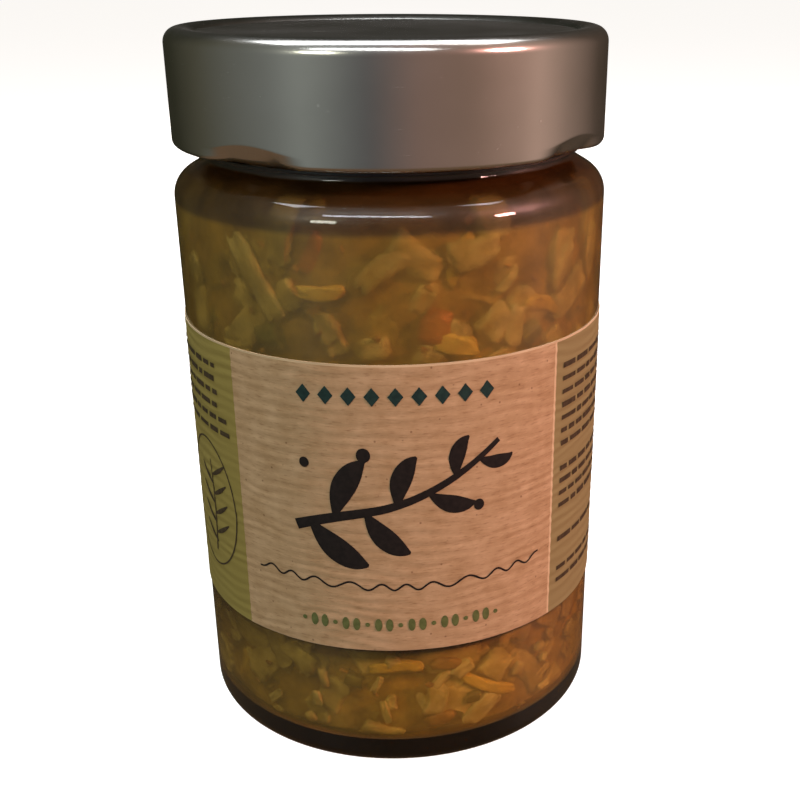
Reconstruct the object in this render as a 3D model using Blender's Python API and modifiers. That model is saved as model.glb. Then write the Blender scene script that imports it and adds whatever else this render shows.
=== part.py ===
"""A shut jar of kimchi: straight glass, deep twist-off lid, paper label band and the packed vegetables.

Metres, +Z up. The origin is the middle of the base, and the jar's front is -Y.
"""

import math
import random

import bmesh
import bpy
from mathutils import noise

MM = 0.001

# Glass jar: a straight body that turns in over a short shoulder to a grooved neck
BODY_RADIUS = 37.2 * MM
WALL = 2.2 * MM
BASE_THICKNESS = 3.7 * MM
PUSH_UP = 1.1 * MM
FOOT_INNER_RADIUS = 31.0 * MM
FOOT_SLOPE = 1.6 * MM
HEEL_RADIUS = 2.6 * MM
INNER_HEEL_RADIUS = 3.0 * MM
INNER_DOME = 0.7 * MM
SHOULDER_Z = 95.9 * MM
SHOULDER_RADIUS = 4.7 * MM
INNER_SHOULDER = 3.5 * MM
SHOULDER_ARC = 60.0
NECK_RADIUS = 31.3 * MM
NECK_GROOVE = 1.2 * MM
NECK_BEND = 2.0 * MM
BEAD_RADIUS = 32.6 * MM
BEAD_TOP = 104.3 * MM
MOUTH_RADIUS = 28.9 * MM
MOUTH_Z = 121.1 * MM
FINISH_RADIUS = 31.9 * MM
THREAD_RADIUS = 33.8 * MM
THREAD_Z = 110.2 * MM
THREAD_HEIGHT = 2.4 * MM
LIP_ROUNDING = 1.0 * MM

# Lid: a deep tinplate cap with a sunk panel, a rolled lower edge and four pressed lugs
LID_RADIUS = 36.75 * MM
LID_TOP = 122.75 * MM
LID_BOTTOM = 104.4 * MM
LID_SHEET = 0.5 * MM
LID_CORNER = 2.4 * MM
RIM_FLANK_RADIUS = 33.0 * MM
RIM_FLANK_DROP = 0.15 * MM
PANEL_RADIUS = 31.8 * MM
PANEL_SINK = 0.85 * MM
CURL_RADIUS = 0.95 * MM
LUG_COUNT = 4
LUG_FIRST = -36.0
LUG_HALF_ANGLE = 17.0
LUG_RISE = 1.3 * MM
LUG_PRESS = 1.9 * MM
LUG_FLATNESS = 1.7
SKIRT_ROWS = (1.0, 0.62, 0.3, 0.0)
SKIRT_ROWS_INSIDE = (0.15, 0.6, 1.0)

# Paper label: one band stuck round the front and the sides, open at the back
LABEL_BOTTOM = 24.2 * MM
LABEL_TOP = 75.6 * MM
LABEL_LEFT = -126.0
LABEL_RIGHT = 126.0
PAPER = 0.2 * MM
TOUCH_GAP = 0.3 * MM
LABEL_RADIUS = BODY_RADIUS + 1.1 * TOUCH_GAP

# Kimchi: a packed heap that the glass presses flat all round
HEAP_TOP = 98.5 * MM
CORE_DEPTH = 2.9 * MM
CORE_BUMP = 1.0 * MM
CORE_RINGS = 10
CORE_STEPS = 24
CORE_FLANK_RADIUS = 25.0 * MM
NOISE_SCALE = 180.0
CROWN_DROP = 3.0 * MM
CROWN_RADII = (26.0 * MM, 17.0 * MM, 8.0 * MM, 0.0)
FOOT_RADII = (0.0, 12.0 * MM, 22.0 * MM)

# Cuts in the heap: how many of each, and the limits of their sizes in millimetres
STALKS, LEAVES, CARROTS, STEMS = 40, 18, 20, 12
STALK_LENGTH = (12.0, 26.0)
STALK_WIDTH = (4.5, 8.0)
STALK_BOW = (-2.0, 2.0)
STALK_THICKNESS = 2.6 * MM
LEAF_LENGTH = (12.0, 18.0)
LEAF_WIDTH = (9.0, 13.0)
LEAF_WAVES = (2.0, 4.0)
LEAF_THICKNESS = 1.1 * MM
CARROT_LENGTH = (7.0, 14.0)
CARROT_WIDTH = 2.4 * MM
CARROT_THICKNESS = 2.2 * MM
CARROT_BOW = 0.6 * MM
STEM_RADIUS = (1.5, 2.2)
STEM_LENGTH = (3.0, 6.0)
STEM_SIDES = 6
CUT_SINK = (0.0, 0.8)
CUTS_ABOVE_BASE = 7.0 * MM
CUTS_BELOW_TOP = 6.0 * MM
CUT_TURN = math.radians(75.0)
ANGLE_SHIFT = math.radians(7.0)
KIND_TURN = 0.37
GOLDEN_ANGLE = math.pi * (3.0 - math.sqrt(5.0))

TURN_STEPS = 48
MERGE = 0.01 * MM
SEED = 12

INNER_RADIUS = BODY_RADIUS - WALL


def clear_scene():
    for thing in list(bpy.data.objects):
        bpy.data.objects.remove(thing, do_unlink=True)


def new_collection(name):
    collection = bpy.data.collections.new(name)
    bpy.context.scene.collection.children.link(collection)
    return collection


def paint(name, colour, roughness, metallic=0.0, clear=0.0):
    """A Principled material in the piece's own colour, given as linear red, green and blue."""
    material = bpy.data.materials.new(name)
    material.use_nodes = True
    shader = material.node_tree.nodes["Principled BSDF"]
    shader.inputs["Base Color"].default_value = (*colour, 1.0)
    shader.inputs["Roughness"].default_value = roughness
    shader.inputs["Metallic"].default_value = metallic
    shader.inputs["Transmission Weight"].default_value = clear
    return material


def arc(centre, radius, start, end, steps):
    """Points of a profile along an arc, from one angle to another in degrees. 0 points away from the axis."""
    points = []
    for i in range(steps + 1):
        angle = math.radians(start + (end - start) * i / steps)
        points.append((centre[0] + radius * math.cos(angle), centre[1] + radius * math.sin(angle)))
    return points


def baked(obj):
    """Turns an object's modifiers into its mesh."""
    graph = bpy.context.evaluated_depsgraph_get()
    mesh = bpy.data.meshes.new_from_object(obj.evaluated_get(graph))
    obj.modifiers.clear()
    obj.data = mesh
    return obj


def turned(name, profile, steps, collection):
    """A solid turned about Z from a profile that starts and ends on the axis."""
    mesh = bpy.data.meshes.new(name)
    edges = [(i, i + 1) for i in range(len(profile) - 1)]
    mesh.from_pydata([(r, 0.0, z) for r, z in profile], edges, [])
    obj = bpy.data.objects.new(name, mesh)
    collection.objects.link(obj)
    screw = obj.modifiers.new("Turn", "SCREW")
    screw.steps = steps
    screw.render_steps = steps
    screw.use_merge_vertices = True
    screw.merge_threshold = MERGE
    return obj


def shade(obj, angle=35.0):
    obj.data.shade_smooth()
    obj.data.set_sharp_from_angle(angle=math.radians(angle))


def cone_height(r, corner_r, corner_z):
    """Height at radius r on the shoulder's cone, which leaves its corner arc at (corner_r, corner_z)."""
    return corner_z + (corner_r - r) * math.tan(math.radians(90.0 - SHOULDER_ARC))


def inner_profile():
    """The jar's inside, from the middle of its bottom up to the mouth."""
    flat = INNER_RADIUS - INNER_HEEL_RADIUS
    points = [(flat * i / 3, BASE_THICKNESS + INNER_DOME * (1 - (i / 3) ** 2)) for i in range(3)]
    points += arc((flat, BASE_THICKNESS + INNER_HEEL_RADIUS), INNER_HEEL_RADIUS, -90, 0, 3)
    corner = arc((INNER_RADIUS - INNER_SHOULDER, SHOULDER_Z), INNER_SHOULDER, 0, SHOULDER_ARC, 3)
    low = MOUTH_RADIUS + NECK_BEND * (1 - math.cos(math.radians(SHOULDER_ARC)))
    low_z = cone_height(low, *corner[-1])
    bend_z = low_z + NECK_BEND * math.sin(math.radians(SHOULDER_ARC))
    points += corner
    points += arc((MOUTH_RADIUS + NECK_BEND, bend_z), NECK_BEND, 180 + SHOULDER_ARC, 180, 2)
    points += arc((MOUTH_RADIUS + LIP_ROUNDING, MOUTH_Z - LIP_ROUNDING), LIP_ROUNDING, 180, 90, 2)
    return points


def outer_profile():
    """The jar's outside, from the mouth down to the middle of the base."""
    points = arc((FINISH_RADIUS - LIP_ROUNDING, MOUTH_Z - LIP_ROUNDING), LIP_ROUNDING, 90, 0, 2)
    slope = THREAD_RADIUS - FINISH_RADIUS
    points += [
        (FINISH_RADIUS, THREAD_Z + THREAD_HEIGHT / 2),
        (THREAD_RADIUS, THREAD_Z + THREAD_HEIGHT / 2 - slope / 2),
        (THREAD_RADIUS, THREAD_Z - THREAD_HEIGHT / 2 + slope / 2),
        (FINISH_RADIUS, THREAD_Z - THREAD_HEIGHT / 2),
        (FINISH_RADIUS, BEAD_TOP),
    ]
    bead = BEAD_RADIUS - FINISH_RADIUS
    points += arc((FINISH_RADIUS, BEAD_TOP - bead), bead, 60, -20, 2)
    corner = arc((BODY_RADIUS - SHOULDER_RADIUS, SHOULDER_Z), SHOULDER_RADIUS, SHOULDER_ARC, 0, 5)
    low = NECK_RADIUS + NECK_GROOVE * (1 - math.cos(math.radians(SHOULDER_ARC)))
    low_z = cone_height(low, *corner[0])
    groove_z = low_z + NECK_GROOVE * math.sin(math.radians(SHOULDER_ARC))
    points += arc((NECK_RADIUS + NECK_GROOVE, groove_z), NECK_GROOVE, 120, 180 + SHOULDER_ARC, 4)
    points += corner
    points += arc((BODY_RADIUS - HEEL_RADIUS, HEEL_RADIUS), HEEL_RADIUS, 0, -90, 4)
    points += [(FOOT_INNER_RADIUS, 0.0), (FOOT_INNER_RADIUS - FOOT_SLOPE, PUSH_UP * 0.8), (0.0, PUSH_UP)]
    return points


def make_glass(collection):
    jar = turned("glass_jar", inner_profile() + outer_profile(), TURN_STEPS, collection)
    baked(jar)
    shade(jar)
    jar.data.materials.append(paint("clear_glass", (0.80, 0.83, 0.76), 0.05, clear=1.0))
    return jar


def lid_profile():
    """The cap, from the middle of its panel down the outside and up the inside again."""
    panel_z = LID_TOP - PANEL_SINK
    top = [(0.0, panel_z), (PANEL_RADIUS, panel_z), (RIM_FLANK_RADIUS, LID_TOP - RIM_FLANK_DROP)]
    top += arc((LID_RADIUS - LID_CORNER, LID_TOP - LID_CORNER), LID_CORNER, 90, 0, 4)
    curl = (LID_RADIUS - CURL_RADIUS, LID_BOTTOM + CURL_RADIUS)
    edge_top = curl[1] + CURL_RADIUS
    skirt = [(LID_RADIUS, edge_top + LUG_RISE * share) for share in SKIRT_ROWS]
    inside = [(LID_RADIUS - LID_SHEET, edge_top + LUG_RISE * share) for share in SKIRT_ROWS_INSIDE]
    inside += arc((LID_RADIUS - LID_CORNER, LID_TOP - LID_CORNER), LID_CORNER - LID_SHEET, 0, 90, 2)
    inside += [(PANEL_RADIUS, panel_z - LID_SHEET), (0.0, panel_z - LID_SHEET)]
    return top + skirt + arc(curl, CURL_RADIUS, 0, -240, 7) + inside


def press_lugs(mesh):
    """Presses each lug in from the skirt: a low arch that slants in down to the rolled edge."""
    edge_top = LID_BOTTOM + 2 * CURL_RADIUS
    for vertex in mesh.vertices:
        r = math.hypot(vertex.co.x, vertex.co.y)
        if r < RIM_FLANK_RADIUS or vertex.co.z > edge_top + LUG_RISE:
            continue
        angle = math.degrees(math.atan2(vertex.co.x, -vertex.co.y))
        pitch = 360.0 / LUG_COUNT
        off = (angle - LUG_FIRST + pitch / 2) % pitch - pitch / 2
        if abs(off) >= LUG_HALF_ANGLE:
            continue
        window = 0.5 + 0.5 * math.cos(math.pi * off / LUG_HALF_ANGLE)
        arch_top = edge_top + LUG_RISE * window
        slant = (arch_top - vertex.co.z) / (arch_top - LID_BOTTOM)
        pressed = LUG_PRESS * min(1.0, LUG_FLATNESS * window) * min(1.0, max(0.0, slant))
        vertex.co.x *= (r - pressed) / r
        vertex.co.y *= (r - pressed) / r


def make_lid(collection):
    lid = turned("lid", lid_profile(), TURN_STEPS, collection)
    baked(lid)
    press_lugs(lid.data)
    shade(lid)
    lid.data.materials.append(paint("tinplate", (0.42, 0.40, 0.37), 0.32, metallic=1.0))
    return lid


def make_label(collection):
    """A flat strip of paper, bent round the body and given the paper's thickness outwards."""
    label = bpy.data.objects.new("label", bpy.data.meshes.new("label"))
    collection.objects.link(label)
    columns = round((LABEL_RIGHT - LABEL_LEFT) * TURN_STEPS / 360.0)
    shape = bmesh.new()
    bmesh.ops.create_grid(shape, x_segments=columns, y_segments=1, size=0.5)
    for vertex in shape.verts:
        angle = math.radians(LABEL_LEFT + (LABEL_RIGHT - LABEL_LEFT) * (vertex.co.x + 0.5))
        height = LABEL_BOTTOM + (LABEL_TOP - LABEL_BOTTOM) * (vertex.co.y + 0.5)
        vertex.co = (LABEL_RADIUS * math.sin(angle), -LABEL_RADIUS * math.cos(angle), height)
    shape.to_mesh(label.data)
    shape.free()
    solid = label.modifiers.new("Paper", "SOLIDIFY")
    solid.thickness = PAPER
    solid.offset = 1.0
    label.data.materials.append(paint("kraft_paper", (0.38, 0.25, 0.14), 0.85))
    shade(label)
    return label


def room(height):
    """How far out the kimchi may reach at a height: the jar's inside, less the gap."""
    lift = height - BASE_THICKNESS
    if lift < INNER_HEEL_RADIUS:
        reach = math.sqrt(max(0.0, INNER_HEEL_RADIUS**2 - (INNER_HEEL_RADIUS - lift) ** 2))
        return INNER_RADIUS - INNER_HEEL_RADIUS + reach - 1.2 * TOUCH_GAP
    over = min(max(0.0, height - SHOULDER_Z), INNER_SHOULDER)
    reach = math.sqrt(INNER_SHOULDER**2 - over**2)
    return INNER_RADIUS - INNER_SHOULDER + reach - 1.2 * TOUCH_GAP


def split_faces(mesh):
    """Splits faces into triangles, which are flat whatever is done to their corners."""
    shape = bmesh.new()
    shape.from_mesh(mesh)
    bmesh.ops.triangulate(shape, faces=shape.faces)
    shape.to_mesh(mesh)
    shape.free()


def make_core(collection):
    """The middle of the heap, a little short of the glass and bumpy all over."""
    low = BASE_THICKNESS + INNER_DOME + TOUCH_GAP
    foot = [(r, low) for r in FOOT_RADII]
    sides = []
    for i in range(CORE_RINGS):
        height = low + 0.5 * MM + (HEAP_TOP - 4.0 * MM - low) * i / (CORE_RINGS - 1)
        sides.append((room(height) - CORE_DEPTH, height))
    crown = [(r, HEAP_TOP - CROWN_DROP * (r / MOUTH_RADIUS) ** 2) for r in CROWN_RADII]
    core = turned("kimchi", (foot + sides + crown)[::-1], CORE_STEPS, collection)
    baked(core)
    for vertex in core.data.vertices:
        bump = noise.noise(vertex.co * NOISE_SCALE) * CORE_BUMP * 2.0
        r = math.hypot(vertex.co.x, vertex.co.y)
        if r > CORE_FLANK_RADIUS:
            vertex.co.x *= (r + bump) / r
            vertex.co.y *= (r + bump) / r
        elif vertex.co.z > HEAP_TOP / 2:
            vertex.co.z += bump
    split_faces(core.data)
    return core


def strip(length, width, thickness, segments, bow):
    """A cut strip: a bar bowed sideways, whose ends are 30% narrower and 25% thinner than its middle."""
    shape = bmesh.new()
    bmesh.ops.create_cube(shape, size=1.0)
    long_edges = [edge for edge in shape.edges if abs(edge.verts[0].co.x - edge.verts[1].co.x) > 0.5]
    bmesh.ops.subdivide_edges(shape, edges=long_edges, cuts=segments - 1)
    for vertex in shape.verts:
        along = 2.0 * vertex.co.x
        taper = 1.0 - 0.3 * along**4
        vertex.co.x = along * length / 2
        vertex.co.y = vertex.co.y * width * taper + bow * (1.0 - along**2)
        vertex.co.z = vertex.co.z * thickness * (1.0 - 0.25 * along**2)
    return shape


def leaf(length, width, thickness, waves, phase):
    """A torn piece of leaf: an oval sheet with waves, thickened to both sides alike."""
    shape = bmesh.new()
    bmesh.ops.create_grid(shape, x_segments=4, y_segments=3, size=0.5)
    bmesh.ops.triangulate(shape, faces=shape.faces)
    for vertex in shape.verts:
        along, across = 2.0 * vertex.co.x, 2.0 * vertex.co.y
        edge = math.sqrt(1.0 - 0.45 * across**2)
        vertex.co.x = along * edge * length / 2
        vertex.co.y = across * math.sqrt(1.0 - 0.45 * along**2) * width / 2
        vertex.co.z = thickness * 0.7 * math.sin(waves * along + phase) * math.cos(2.0 * across)
    sheet = shape.faces[:]
    bmesh.ops.solidify(shape, geom=sheet, thickness=thickness)
    return shape


def bit(radius, length, sides):
    """A short cut of a round stem, lying on its side."""
    shape = bmesh.new()
    bmesh.ops.create_cone(
        shape, cap_ends=True, segments=sides, radius1=radius, radius2=radius * 0.85, depth=length
    )
    for vertex in shape.verts:
        x, y, z = vertex.co
        vertex.co = (z, x, y)
    return shape


def press_to_wall(shape, angle, height, turn, sink):
    """Lays a flat shape against the glass: its length turned by an angle, its thickness pointing out."""
    ups = [vertex.co.x * math.sin(turn) + vertex.co.y * math.cos(turn) for vertex in shape.verts]
    top = max(vertex.co.z for vertex in shape.verts)
    height = max(height, BASE_THICKNESS + INNER_HEEL_RADIUS - min(ups))
    height = min(height, SHOULDER_Z + INNER_SHOULDER * 0.7 - max(ups))
    for vertex, up in zip(shape.verts, ups):
        around = vertex.co.x * math.cos(turn) - vertex.co.y * math.sin(turn)
        r = room(height + up) - sink - (top - vertex.co.z)
        place = angle + around / INNER_RADIUS
        vertex.co = (r * math.sin(place), -r * math.cos(place), height + up)


def add_piece(shape, name, collection):
    """Makes a fused piece's own object. Its bent faces are split into triangles, so that each is flat."""
    bmesh.ops.triangulate(shape, faces=shape.faces)
    shape.normal_update()
    bmesh.ops.recalc_face_normals(shape, faces=shape.faces)
    mesh = bpy.data.meshes.new(name)
    shape.to_mesh(mesh)
    shape.free()
    collection.objects.link(bpy.data.objects.new(name, mesh))


def scatter_pieces(collection):
    """Cut vegetables spread evenly over the wall, larger cuts first, each by a seeded draw."""
    draw = random.Random(SEED)

    def mm(limits):
        return draw.uniform(*limits) * MM

    kinds = (
        ("stalk", STALKS, lambda: strip(mm(STALK_LENGTH), mm(STALK_WIDTH), STALK_THICKNESS, 3, mm(STALK_BOW))),
        ("leaf", LEAVES, lambda: leaf(mm(LEAF_LENGTH), mm(LEAF_WIDTH), LEAF_THICKNESS,
                                      draw.uniform(*LEAF_WAVES), draw.uniform(0.0, math.tau))),
        ("carrot", CARROTS, lambda: strip(mm(CARROT_LENGTH), CARROT_WIDTH, CARROT_THICKNESS, 2, CARROT_BOW)),
        ("stem", STEMS, lambda: bit(mm(STEM_RADIUS), mm(STEM_LENGTH), STEM_SIDES)),
    )
    low, high = BASE_THICKNESS + CUTS_ABOVE_BASE, HEAP_TOP - CUTS_BELOW_TOP
    for order, (kind, count, make) in enumerate(kinds):
        for i in range(count):
            angle = GOLDEN_ANGLE * (i + KIND_TURN * order) + draw.uniform(-ANGLE_SHIFT, ANGLE_SHIFT)
            height = low + (high - low) * ((i + 0.5 + KIND_TURN * order) / count % 1.0)
            turn = draw.uniform(-CUT_TURN, CUT_TURN)
            shape = make()
            press_to_wall(shape, angle, height, turn, mm(CUT_SINK))
            add_piece(shape, f"{kind}_{i:02d}", collection)


def keep_largest_body(mesh):
    """Drops loose scraps and the skins of sealed hollows, which are separate islands of faces."""
    shape = bmesh.new()
    shape.from_mesh(mesh)
    bmesh.ops.remove_doubles(shape, verts=shape.verts, dist=MERGE / 10)
    waiting = set(shape.faces)
    islands = []
    while waiting:
        edge_of_island = [waiting.pop()]
        island = set(edge_of_island)
        while edge_of_island:
            face = edge_of_island.pop()
            for edge in face.edges:
                for other in edge.link_faces:
                    if other in waiting:
                        waiting.discard(other)
                        island.add(other)
                        edge_of_island.append(other)
        islands.append(island)
    islands.sort(key=len)
    for island in islands[:-1]:
        bmesh.ops.delete(shape, geom=list(island), context="FACES")
    shape.to_mesh(mesh)
    shape.free()


def make_kimchi(collection):
    pieces = new_collection("kimchi pieces")
    kimchi = make_core(collection)
    scatter_pieces(pieces)
    union = kimchi.modifiers.new("Fuse", "BOOLEAN")
    union.operation = "UNION"
    union.operand_type = "COLLECTION"
    union.collection = pieces
    union.solver = "MANIFOLD"
    bpy.context.view_layer.update()
    baked(kimchi)
    for piece in list(pieces.objects):
        bpy.data.objects.remove(piece, do_unlink=True)
    bpy.data.collections.remove(pieces)
    keep_largest_body(kimchi.data)
    shade(kimchi, 50.0)
    kimchi.data.materials.clear()
    kimchi.data.materials.append(paint("pickled_cabbage", (0.32, 0.21, 0.06), 0.45))
    return kimchi


def main():
    clear_scene()
    jar = new_collection("kimchi jar")
    make_glass(jar)
    make_lid(jar)
    make_label(jar)
    make_kimchi(jar)


main()
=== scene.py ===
# %% [markdown]
# # A shut jar of kimchi
# The real thing is a straight glass jar with a deep twist-off lid, a band of ribbed kraft paper
# round its belly, and cut cabbage packed in cloudy brine.
# The plain solids of the jar are loaded first. They give every size, and each one is then
# replaced here by a finer piece with a real surface.

# %% Load the plain solids
import math
import random

import bpy
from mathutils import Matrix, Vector, noise


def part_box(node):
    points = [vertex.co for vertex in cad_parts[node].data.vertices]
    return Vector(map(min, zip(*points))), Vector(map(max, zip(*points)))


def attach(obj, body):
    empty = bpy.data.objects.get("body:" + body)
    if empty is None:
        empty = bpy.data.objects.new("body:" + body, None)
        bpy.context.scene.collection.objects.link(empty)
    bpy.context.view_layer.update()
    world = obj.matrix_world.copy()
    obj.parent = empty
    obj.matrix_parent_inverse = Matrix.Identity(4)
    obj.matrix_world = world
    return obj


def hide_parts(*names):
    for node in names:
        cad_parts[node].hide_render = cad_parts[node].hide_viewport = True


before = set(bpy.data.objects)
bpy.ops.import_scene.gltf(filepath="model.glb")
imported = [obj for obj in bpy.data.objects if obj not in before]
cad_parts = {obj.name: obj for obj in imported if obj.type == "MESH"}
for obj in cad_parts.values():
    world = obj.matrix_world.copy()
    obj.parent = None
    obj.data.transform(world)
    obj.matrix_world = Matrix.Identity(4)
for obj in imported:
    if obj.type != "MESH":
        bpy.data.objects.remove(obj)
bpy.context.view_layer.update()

for node_name in sorted(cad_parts):
    low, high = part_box(node_name)
    print(node_name, "spans", [round(1000 * (high[i] - low[i]), 1) for i in range(3)], "mm")

# %% [markdown]
# ## Units and small helpers
# Blender works in metres, but a jar is measured in millimetres, so every size is written as a
# number times MM. Colours are picked as hex codes, which are sRGB. Shaders want linear light, so
# one function converts them. The others add the shader nodes that come up again and again, with
# their settings and links, which keeps each material short enough to read.

# %% Units, colours and nodes
MM = 0.001


def colour(code):
    """Linear red, green, blue and alpha from an sRGB hex code."""
    parts = [int(code[i:i + 2], 16) / 255 for i in (1, 3, 5)]
    linear = [part / 12.92 if part <= 0.04045 else ((part + 0.055) / 1.055) ** 2.4 for part in parts]
    return (*linear, 1.0)


def set_inputs(tree, node, inputs):
    """Gives the sockets of a node their values, or links where a value is another node's output."""
    for socket, value in inputs.items():
        if isinstance(value, bpy.types.NodeSocket):
            tree.links.new(value, node.inputs[socket])
        else:
            node.inputs[socket].default_value = value


def add_node(tree, kind, inputs=None, **settings):
    """Adds a node with its options as settings, and with values or links for its inputs."""
    node = tree.nodes.new("ShaderNode" + kind)
    for name, value in settings.items():
        setattr(node, name, value)
    set_inputs(tree, node, inputs or {})
    return node


def remap(tree, value, start, end, low=0.0, high=1.0):
    """The output of a Map Range node, which turns start into low and end into high."""
    limits = {"Value": value, "From Min": start, "From Max": end, "To Min": low, "To Max": high}
    return add_node(tree, "MapRange", limits).outputs[0]


def compute(tree, operation, *values):
    """The output of a Math node."""
    return add_node(tree, "Math", dict(enumerate(values)), operation=operation).outputs[0]


def mix_colours(tree, factor, under, over):
    """One colour laid over another. The factor is the share that it covers."""
    mix = add_node(tree, "Mix", {"Factor": factor, "A": under, "B": over}, data_type="RGBA")
    return mix.outputs["Result"]


def colour_ramp(tree, value, stops):
    """The colour that a Color Ramp gives for a value. Its stops are (position, hex code) pairs."""
    ramp = add_node(tree, "ValToRGB", {0: value})
    elements = ramp.color_ramp.elements
    elements.remove(elements[0])
    elements[0].position = stops[-1][0]
    elements[0].color = colour(stops[-1][1])
    for position, code in stops[:-1]:
        elements.new(position).color = colour(code)
    return ramp.outputs[0]


def new_material(name):
    """A material with its node tree and its Principled shader."""
    material = bpy.data.materials.new(name)
    material.use_nodes = True
    tree = material.node_tree
    return material, tree, tree.nodes["Principled BSDF"]


def object_mm(tree):
    """Object coordinates in millimetres, so that a noise Scale of 0.5 means grains about 2 mm wide."""
    place = add_node(tree, "TexCoord").outputs["Object"]
    return add_node(tree, "VectorMath", {0: place, "Scale": 1 / MM}, operation="SCALE").outputs[0]


print("white is", colour("#FFFFFF"), "and mid grey is", round(colour("#808080")[0], 3))

# %% [markdown]
# Operators act on whatever is selected. A new primitive is selected alone, and for the rest one
# helper picks the objects to work on. Another ends each piece: it gets its material, smooth
# shading, the body that it moves with, and the solid that it stands for.

# %% Picking and finishing a piece
SMOOTH_ANGLE = math.radians(38)


def pick(*objects):
    """Selects these objects alone and makes the first one active."""
    bpy.ops.object.select_all(action="DESELECT")
    for thing in objects:
        thing.select_set(True)
    bpy.context.view_layer.objects.active = objects[0]


def name_piece(piece, name):
    piece.name = name
    piece.data.name = name
    return piece


def apply_modifiers(piece):
    pick(piece)
    for modifier in list(piece.modifiers):
        bpy.ops.object.modifier_apply(modifier=modifier.name)


def finish(piece, material, replaces=None, smooth=SMOOTH_ANGLE):
    """Ends a piece: material, shading, the body that carries it, and the solid it stands for."""
    piece.data.materials.clear()
    piece.data.materials.append(material)
    pick(piece)
    bpy.ops.object.shade_smooth_by_angle(angle=smooth)
    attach(piece, "root")
    if replaces:
        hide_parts(replaces)
    print(piece.name, "has", len(piece.data.polygons), "faces")
    return piece


# %% [markdown]
# ## The camera
# The camera stands close by and a little above the lid, and is aimed past the jar's right side.
# Its distance, height and angles were found by matching the rings of the jar to the photo. A small
# lens shift puts the jar where the frame has it.

# %% Camera
CAMERA_BACK = 205.8 * MM
CAMERA_HEIGHT = 133.7 * MM
CAMERA_DOWN = 23.49
CAMERA_RIGHT = 3.32
LENS_MM = 52.07
SHIFT_X = -0.0738
SHIFT_Y = 0.0688

bpy.ops.object.camera_add(
    location=(0.0, -CAMERA_BACK, CAMERA_HEIGHT),
    rotation=(math.radians(90 - CAMERA_DOWN), 0.0, math.radians(-CAMERA_RIGHT)),
)
camera = bpy.context.object
camera.data.sensor_width = 36
camera.data.lens = LENS_MM
camera.data.shift_x = SHIFT_X
camera.data.shift_y = SHIFT_Y
camera.data.clip_start = 10 * MM
bpy.context.scene.camera = camera
print("camera stands", round(CAMERA_BACK / MM), "mm back and", round(CAMERA_HEIGHT / MM), "mm high")

# %% [markdown]
# ## Floor and light
# The jar stands on a plain pale floor. Glass and metal show their surroundings more than their
# own colour, and a white studio would turn them white. So the pale floor is there for the camera
# alone, and the sky is pale to the camera and dim and warm to the light that bounces. A Light
# Path node tells the two apart. Nothing on the jar itself uses it.

# %% Pale floor
FLOOR_SIZE = 8.0
FLOOR_GLOW = 0.86
PALE = colour("#FEFDFA")

bpy.ops.mesh.primitive_plane_add(size=FLOOR_SIZE)
floor = name_piece(bpy.context.object, "studio_floor")

floor_paper, tree, shader = new_material("pale_floor_paper")
set_inputs(tree, shader, {"Base Color": colour("#C9CBCD"), "Roughness": 0.9, "Specular IOR Level": 0.0})
set_inputs(tree, shader, {"Emission Color": PALE, "Emission Strength": FLOOR_GLOW})
floor.data.materials.append(floor_paper)
floor.visible_diffuse = False
floor.visible_glossy = False
floor.visible_transmission = False
print("floor is", FLOOR_SIZE, "m wide")

# %% [markdown]
# The surroundings are a ring of soft tones round the jar: a pale grey wall on the left, a dim gap
# in front, a tan wall with a pale peach spot on the right, and dark behind. A brown ground lies
# under them. The lid mirrors that ring from edge to edge. Walls could be modelled, but a Color
# Ramp over the compass angle says the same and makes no noise in the render. Angle 0 is in front
# of the jar, and the angles grow to the right.

# %% Surroundings
RING_TONES = (
    (-180, "#1C1C12"),
    (-140, "#303024"),
    (-110, "#565548"),
    (-60, "#7C807E"),
    (-45, "#929896"),
    (-10, "#606164"),
    (15, "#8F766D"),
    (45, "#8E7669"),
    (70, "#B39688"),
    (80, "#D0AFA0"),
    (105, "#9C8478"),
    (135, "#50443A"),
    (180, "#1C1C12"),
)
GROUND_TONE = "#735C48"
GROUND_STARTS, GROUND_COVERS = -0.46, -0.72
SKY_GLOW = 0.97

world = bpy.data.worlds.new("studio_surroundings")
bpy.context.scene.world = world
world.use_nodes = True
tree = world.node_tree
tree.nodes.clear()
look = add_node(tree, "TexCoord").outputs["Generated"]
axes = add_node(tree, "SeparateXYZ", {0: look})
front = compute(tree, "MULTIPLY", axes.outputs["Y"], -1.0)
compass = compute(tree, "ARCTAN2", axes.outputs["X"], front)
share = remap(tree, compass, -math.pi, math.pi)
ring = colour_ramp(tree, share, [((angle + 180) / 360, tone) for angle, tone in RING_TONES])
below = remap(tree, axes.outputs["Z"], GROUND_STARTS, GROUND_COVERS)
tones = mix_colours(tree, below, ring, colour(GROUND_TONE))
dim_sky = add_node(tree, "Background", {"Color": tones, "Strength": 1.0})
pale_sky = add_node(tree, "Background", {"Color": PALE, "Strength": SKY_GLOW})
eye = add_node(tree, "LightPath").outputs["Is Camera Ray"]
sky_mix = add_node(tree, "MixShader", {0: eye, 1: dim_sky.outputs[0], 2: pale_sky.outputs[0]})
add_node(tree, "OutputWorld", {0: sky_mix.outputs[0]})
print("surroundings have", len(RING_TONES), "tones")

# %% [markdown]
# Two wide soft boxes hang above the jar. They make the bright line along the lid's front edge and
# the one on the glass shoulder. A small warm box on the right turns the label from olive to peach
# on its way round, and a small neutral one lifts the left. A low fill lights the back. It is kept
# out of mirrors, or the lid's panel would show it to the camera in front.
# Glass in glass needs many bounces. Caustics are off, because they would only add specks.

# %% Soft boxes
TARGET = Vector((0.0, 0.0, 60 * MM))


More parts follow.
